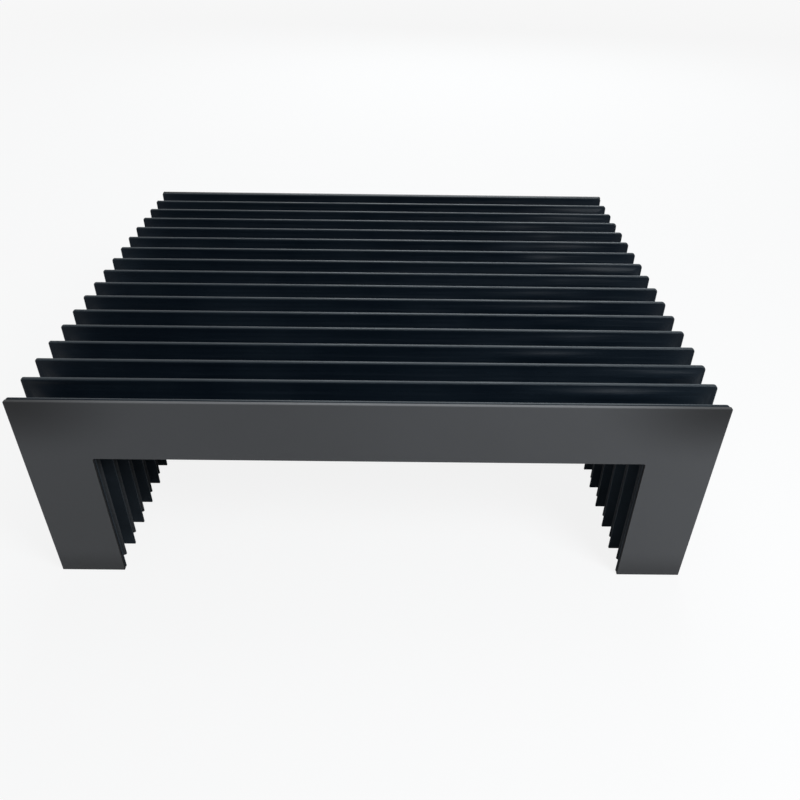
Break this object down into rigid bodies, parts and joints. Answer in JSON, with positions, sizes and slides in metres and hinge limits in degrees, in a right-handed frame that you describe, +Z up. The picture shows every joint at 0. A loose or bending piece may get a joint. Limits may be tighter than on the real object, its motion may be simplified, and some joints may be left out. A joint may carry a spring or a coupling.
{
  "type": "bellows way cover",
  "caption": "Inverted-U accordion cover for a machine slideway: a pleated coated-fabric skin on U-shaped stiffener frames, between two U-shaped end plates, that stretches and collapses.",
  "frame": {"origin": "centre of the footprint, on the plane of the feet", "axes": "+X across the cover's width, +Y along its length from the front end plate to the rear one, +Z up"},
  "size_m": [0.3, 0.25, 0.1],
  "materials": {
    "end_plate": "satin dark grey coat on sheet steel",
    "skin": "black coated fabric, satin",
    "stiffener": "matt black sheet plastic"
  },
  "bodies": {
    "rear_end": {"rear_end_plate": "end_plate", "rear_end_frame": "stiffener", "bellows_skin": "skin"},
    "frame_15": {"stiffener_frame_15": "stiffener"},
    "frame_14": {"stiffener_frame_14": "stiffener"},
    "frame_13": {"stiffener_frame_13": "stiffener"},
    "frame_12": {"stiffener_frame_12": "stiffener"},
    "frame_11": {"stiffener_frame_11": "stiffener"},
    "frame_10": {"stiffener_frame_10": "stiffener"},
    "frame_09": {"stiffener_frame_09": "stiffener"},
    "frame_08": {"stiffener_frame_08": "stiffener"},
    "frame_07": {"stiffener_frame_07": "stiffener"},
    "frame_06": {"stiffener_frame_06": "stiffener"},
    "frame_05": {"stiffener_frame_05": "stiffener"},
    "frame_04": {"stiffener_frame_04": "stiffener"},
    "frame_03": {"stiffener_frame_03": "stiffener"},
    "frame_02": {"stiffener_frame_02": "stiffener"},
    "frame_01": {"stiffener_frame_01": "stiffener"},
    "front_end": {"front_end_plate": "end_plate", "front_end_frame": "stiffener"}
  },
  "joints": [
    {"name": "pleat_16_slide", "type": "slide", "parent": "rear_end", "child": "frame_15", "axis": [0, -1, 0], "range_m": [-0.01, 0.012], "deforming": ["bellows_skin"]},
    {"name": "pleat_15_slide", "type": "slide", "parent": "frame_15", "child": "frame_14", "axis": [0, -1, 0], "range_m": [-0.01, 0.012]},
    {"name": "pleat_14_slide", "type": "slide", "parent": "frame_14", "child": "frame_13", "axis": [0, -1, 0], "range_m": [-0.01, 0.012]},
    {"name": "pleat_13_slide", "type": "slide", "parent": "frame_13", "child": "frame_12", "axis": [0, -1, 0], "range_m": [-0.01, 0.012]},
    {"name": "pleat_12_slide", "type": "slide", "parent": "frame_12", "child": "frame_11", "axis": [0, -1, 0], "range_m": [-0.01, 0.012]},
    {"name": "pleat_11_slide", "type": "slide", "parent": "frame_11", "child": "frame_10", "axis": [0, -1, 0], "range_m": [-0.01, 0.012]},
    {"name": "pleat_10_slide", "type": "slide", "parent": "frame_10", "child": "frame_09", "axis": [0, -1, 0], "range_m": [-0.01, 0.012]},
    {"name": "pleat_09_slide", "type": "slide", "parent": "frame_09", "child": "frame_08", "axis": [0, -1, 0], "range_m": [-0.01, 0.012]},
    {"name": "pleat_08_slide", "type": "slide", "parent": "frame_08", "child": "frame_07", "axis": [0, -1, 0], "range_m": [-0.01, 0.012]},
    {"name": "pleat_07_slide", "type": "slide", "parent": "frame_07", "child": "frame_06", "axis": [0, -1, 0], "range_m": [-0.01, 0.012]},
    {"name": "pleat_06_slide", "type": "slide", "parent": "frame_06", "child": "frame_05", "axis": [0, -1, 0], "range_m": [-0.01, 0.012]},
    {"name": "pleat_05_slide", "type": "slide", "parent": "frame_05", "child": "frame_04", "axis": [0, -1, 0], "range_m": [-0.01, 0.012]},
    {"name": "pleat_04_slide", "type": "slide", "parent": "frame_04", "child": "frame_03", "axis": [0, -1, 0], "range_m": [-0.01, 0.012]},
    {"name": "pleat_03_slide", "type": "slide", "parent": "frame_03", "child": "frame_02", "axis": [0, -1, 0], "range_m": [-0.01, 0.012]},
    {"name": "pleat_02_slide", "type": "slide", "parent": "frame_02", "child": "frame_01", "axis": [0, -1, 0], "range_m": [-0.01, 0.012]},
    {"name": "pleat_01_slide", "type": "slide", "parent": "frame_01", "child": "front_end", "axis": [0, -1, 0], "range_m": [-0.01, 0.012]}
  ],
  "couplings": [
    {"joint": "pleat_15_slide", "follows": "pleat_16_slide", "ratio": 1},
    {"joint": "pleat_14_slide", "follows": "pleat_16_slide", "ratio": 1},
    {"joint": "pleat_13_slide", "follows": "pleat_16_slide", "ratio": 1},
    {"joint": "pleat_12_slide", "follows": "pleat_16_slide", "ratio": 1},
    {"joint": "pleat_11_slide", "follows": "pleat_16_slide", "ratio": 1},
    {"joint": "pleat_10_slide", "follows": "pleat_16_slide", "ratio": 1},
    {"joint": "pleat_09_slide", "follows": "pleat_16_slide", "ratio": 1},
    {"joint": "pleat_08_slide", "follows": "pleat_16_slide", "ratio": 1},
    {"joint": "pleat_07_slide", "follows": "pleat_16_slide", "ratio": 1},
    {"joint": "pleat_06_slide", "follows": "pleat_16_slide", "ratio": 1},
    {"joint": "pleat_05_slide", "follows": "pleat_16_slide", "ratio": 1},
    {"joint": "pleat_04_slide", "follows": "pleat_16_slide", "ratio": 1},
    {"joint": "pleat_03_slide", "follows": "pleat_16_slide", "ratio": 1},
    {"joint": "pleat_02_slide", "follows": "pleat_16_slide", "ratio": 1},
    {"joint": "pleat_01_slide", "follows": "pleat_16_slide", "ratio": 1}
  ]
}
